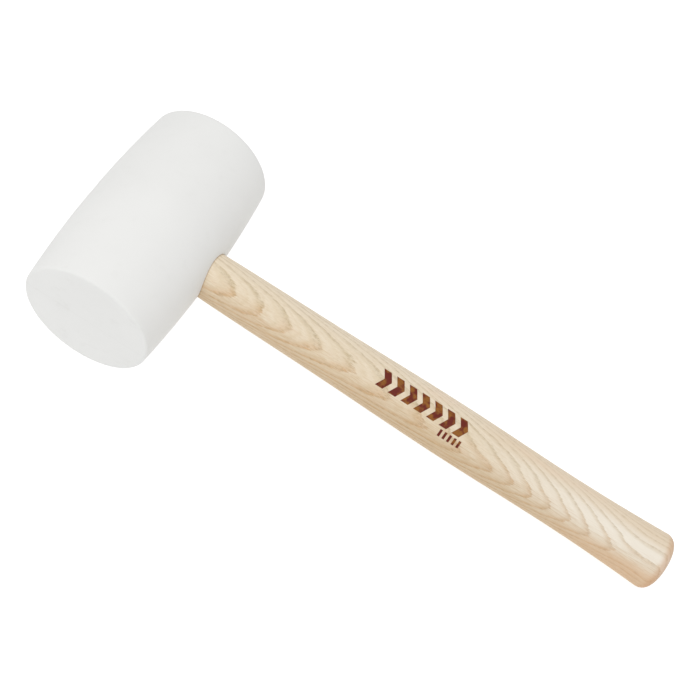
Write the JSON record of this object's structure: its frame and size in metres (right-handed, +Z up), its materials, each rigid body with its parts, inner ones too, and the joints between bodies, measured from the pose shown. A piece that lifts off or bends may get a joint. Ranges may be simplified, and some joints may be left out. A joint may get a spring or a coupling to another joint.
{
  "type": "rubber mallet",
  "caption": "Barrel-shaped white rubber mallet head wedged onto a turned ash handle, for tapping slabs, blocks and paving into place without marking them.",
  "frame": {"origin": "on the surface the mallet lies on, under the middle of its bounding box", "axes": "+X from the head towards the butt of the handle, Y along the head from striking face to striking face, +Z up from the surface"},
  "size_m": [0.3514, 0.122, 0.075],
  "materials": {
    "rubber_head": "matt moulded white rubber",
    "ash_handle": "sanded and lightly sealed pale ash",
    "wood_wedge": "bare split hardwood",
    "steel_wedge": "dull mill-finish steel"
  },
  "bodies": {
    "root": {"rubber_head": "rubber_head", "ash_handle": "ash_handle", "wood_wedge": "wood_wedge", "steel_wedge": "steel_wedge"}
  },
  "joints": []
}
